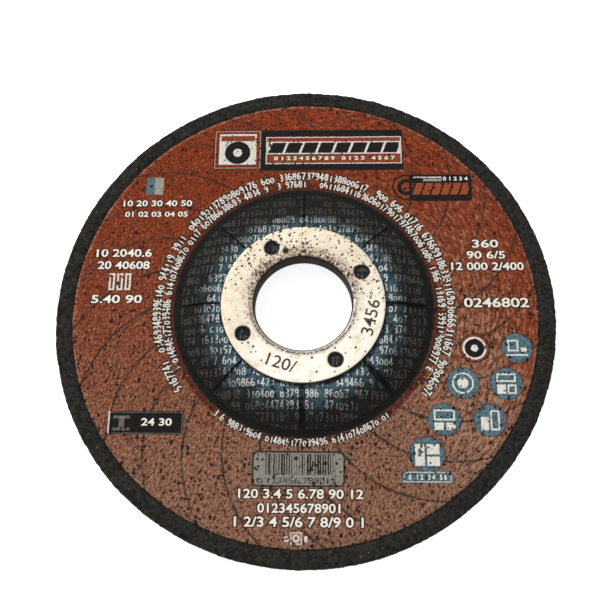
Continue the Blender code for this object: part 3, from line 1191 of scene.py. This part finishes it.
def centre_ring(material):
    """The pressed ring with its holes struck through the flange."""
    section = rounded([
        (NECK_RADIUS, NECK_BOTTOM, 0.12),
        (NECK_RADIUS, RING_TOP, LIP_ROUNDING),
        (FLANGE_RADIUS, RING_TOP, 0.14),
        (FLANGE_RADIUS, RING_TOP - SHEET, 0.1),
        (NECK_RADIUS + SHEET, RING_TOP - SHEET, 0.3),
        (NECK_RADIUS + SHEET, NECK_BOTTOM, 0.12),
    ])
    bm = turned(spaced(section, 0.8), RING_STEPS)
    ring = finished(bm, "plated_ring", material, sharp=35)
    punches = bmesh.new()
    for k in range(HOLE_COUNT):
        single = hole_punch()
        bmesh.ops.translate(single, verts=single.verts, vec=(HOLE_PITCH, 0, 0))
        turn = Matrix.Rotation(HOLE_START + k * math.tau / HOLE_COUNT, 3, "Z")
        bmesh.ops.rotate(single, verts=single.verts, cent=(0, 0, 0), matrix=turn)
        held = bpy.data.meshes.new("punch")
        single.to_mesh(held)
        single.free()
        punches.from_mesh(held)
    cutter = finished(punches, "hole_punches", material)
    cut = ring.modifiers.new("holes", "BOOLEAN")
    cut.operation = "DIFFERENCE"
    cut.object = cutter
    kept = evaluated(ring)
    ring.modifiers.clear()
    ring.data = kept
    kept.set_sharp_from_angle(angle=math.radians(35))
    bpy.data.objects.remove(cutter)
    return ring


def numerals(words, width, height, centre, level, turn=0.0, thick=0.0, spread=1.0):
    """Flat numerals as a mesh in millimetres, width by height before thick is added all round."""
    curve = bpy.data.curves.new("numerals", "FONT")
    curve.body = words
    curve.resolution_u = 3
    curve.extrude = 0.002
    curve.space_character = spread
    holder = set_down("numerals", curve)
    corners = [Vector(corner) for corner in holder.bound_box]
    size = corners[6] - corners[0]
    curve.offset = thick / height * size.y
    mesh = evaluated(holder)
    bpy.data.objects.remove(holder)
    middle = (corners[0] + corners[6]) / 2
    fit = Matrix.Diagonal((width / size.x, height / size.y, 1.0, 1.0)) @ Matrix.Translation(-middle)
    place = Matrix.Translation((*centre, level)) @ Matrix.Rotation(math.radians(turn), 4, "Z")
    mesh.transform(place @ fit)
    return mesh


def numeral_piece(name, meshes, material, on_paper=True):
    """The numerals as one piece, which follows the paper's lumps where it lies on the paper."""
    bm = bmesh.new()
    for mesh in meshes:
        bm.from_mesh(mesh)
    bmesh.ops.remove_doubles(bm, verts=bm.verts, dist=0.0005)
    for v in bm.verts if on_paper else ():
        v.co.z += lump_height(Vector((*v.co.xy, LABEL_TOP)), PAPER_LUMPS)
    return finished(bm, name, material)


def printed_numbers(name, rows, material, above, boldness=0.0, spread=1.0):
    """Rows of numerals above the paper. Boldness is added all round, as a share of their height."""
    level = LABEL_TOP + above
    meshes = []
    for words, left, right, bottom, top in rows:
        centre = ((left + right) / 2, (bottom + top) / 2)
        width, height = right - left, top - bottom
        meshes.append(numerals(words, width, height, centre, level, 0.0, boldness * height, spread))
    return numeral_piece(name, meshes, material)


def struck_numerals(material):
    """Plain numbers struck into the ring, their heads towards the bore."""
    level = RING_TOP + 0.003
    meshes = []
    for words, width, radius, angle in STRUCK_ROWS:
        at = (radius * math.cos(math.radians(angle)), radius * math.sin(math.radians(angle)))
        meshes.append(numerals(words, width, 2.8, at, level, turn=angle + 90, thick=0.045))
    return numeral_piece("struck_numerals", meshes, material, on_paper=False)


def lay_floor():
    bm = bmesh.new()
    bmesh.ops.create_grid(bm, x_segments=2, y_segments=2, size=1500)
    bmesh.ops.translate(bm, verts=bm.verts, vec=(0, 0, -FLOOR_DROP))
    floor = finished(bm, "floor", floor_material())


def set_lights():
    """One broad soft lamp from the upper left and a pale surround."""
    lamp = bpy.data.lights.new("window", "AREA")
    lamp.shape = "DISK"
    lamp.size = 0.6
    lamp.energy = 4.1
    holder = set_down("window", lamp)
    holder.location = LAMP_PLACE
    holder.rotation_euler = (-holder.location).to_track_quat("-Z", "Y").to_euler()
    world = bpy.data.worlds.new("pale_surround")
    bpy.context.scene.world = world
    world.use_nodes = True
    tree = world.node_tree
    tree.nodes.clear()
    seen = seen_plainly(tree)
    sky = put(tree, "ShaderNodeBackground")
    feed(sky, {"Color": (1, 1, 1, 1), "Strength": times_plus(seen, 0.5, 0.5)})
    feed(put(tree, "ShaderNodeOutputWorld"), {"Surface": sky.outputs["Background"]})


def set_camera():
    """The photograph's view, from above and a little below the disc's middle."""
    camera = bpy.data.cameras.new("view")
    camera.sensor_width = 36.0
    camera.lens = LENS
    camera.clip_start = 0.01
    camera.clip_end = 10.0
    holder = set_down("view", camera)
    tilt = Matrix.Rotation(math.radians(CAMERA_TILT), 4, "X")
    swing = Matrix.Rotation(math.radians(CAMERA_SWING), 4, "Y")
    holder.matrix_world = Matrix.Translation(Vector(CAMERA_PLACE) * MM) @ tilt @ swing
    bpy.context.scene.camera = holder


def build():
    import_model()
    paper = label_material()
    steel = ring_material()
    cream = numeral_material()
    edges = dark_ink("edge_ink", paint(31, 25, 22), paint(70, 40, 28))
    plate_ink = dark_ink("plate_ink", paint(44, 42, 39), paint(84, 80, 73))
    dressed = (
        (moulded_body(abrasive_material()), "abrasive_body", "abrasive"),
        (paper_label(paper), "paper_label", "label"),
        (centre_ring(steel), "centre_ring", "ring"),
        (printed_numbers("number_edges", NUMBER_ROWS, edges, 0.035, 0.135), None, "label"),
        (printed_numbers("printed_numbers", NUMBER_ROWS, cream, 0.06, 0.03), None, "label"),
        (printed_numbers("small_numbers", SMALL_ROWS, cream, 0.05, 0.04, 1.55), None, "label"),
        (printed_numbers("plate_numbers", PLATE_ROWS, plate_ink, 0.05), None, "label"),
        (struck_numerals(stamp_material()), None, "ring"),
    )
    for piece, node, slot in dressed:
        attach(piece, "root")
        if node:
            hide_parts(node)
    lay_floor()
    set_lights()
    set_camera()
    bpy.context.scene.view_settings.view_transform = "Standard"
    bpy.context.view_layer.update()


build()
